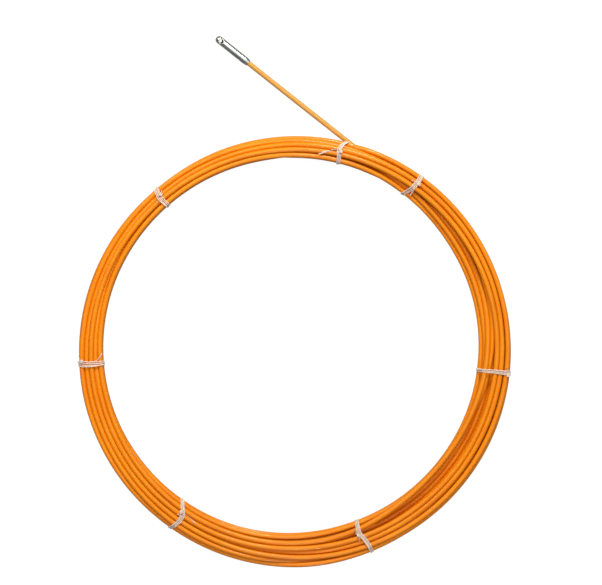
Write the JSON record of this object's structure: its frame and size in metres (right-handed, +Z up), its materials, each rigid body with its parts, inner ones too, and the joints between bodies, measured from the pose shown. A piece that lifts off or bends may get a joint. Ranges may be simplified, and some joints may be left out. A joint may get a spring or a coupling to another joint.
{
  "type": "fish tape",
  "caption": "Round tied hank of plastic-covered fish tape, with thread ties and a screw-on metal pulling eye on its free end.",
  "frame": {"origin": "on the floor, at the centre of the whole object's footprint, with the hank lying flat on its ties", "axes": "+Z up out of the flat hank, +Y from the hank's centre towards the side where the free end leaves, +X to the right seen from above"},
  "size_m": [0.3411, 0.4184, 0.0166],
  "materials": {
    "tape_jacket": "smooth extruded orange nylon, half gloss",
    "strand_core": "twisted galvanised steel strand",
    "plated_metal": "turned steel with bright zinc plating",
    "stud_steel": "black-oxide grub screw",
    "tie_thread": "loosely twisted white thread"
  },
  "bodies": {
    "hank": {"tape_hank": "tape_jacket", "free_end_root": "tape_jacket", "inner_end_sleeve": "plated_metal", "top_tie": "tie_thread", "upper_right_tie": "tie_thread", "right_tie": "tie_thread", "lower_right_tie": "tie_thread", "lower_left_tie": "tie_thread", "left_tie": "tie_thread", "upper_left_tie": "tie_thread"},
    "free_end": {"free_end_jacket": "tape_jacket", "free_end_core": "strand_core", "crimp_ferrule": "plated_metal"},
    "stud": {"thread_stud": "stud_steel"},
    "eye": {"pulling_eye": "plated_metal"}
  },
  "joints": [
    {"name": "free_end_flex", "type": "hinge", "parent": "hank", "child": "free_end", "pos_m": [0.02111, 0.14192, 0.00505], "axis": [0, 0, 1], "range_deg": [-30, 30], "stiffness_Nm_per_rad": 0.9},
    {"name": "stud_travel", "type": "slide", "parent": "free_end", "child": "stud", "axis": [-0.7826, 0.6225, 0], "range_m": [0, 0.00263]},
    {"name": "eye_turn", "type": "hinge", "parent": "stud", "child": "eye", "pos_m": [-0.04298, 0.1929, 0.00295], "axis": [-0.7826, 0.6225, 0], "range_deg": [0, 1890.1]}
  ],
  "couplings": [
    {"joint": "eye_turn", "follows": "stud_travel", "rad_per_m": 12566}
  ]
}
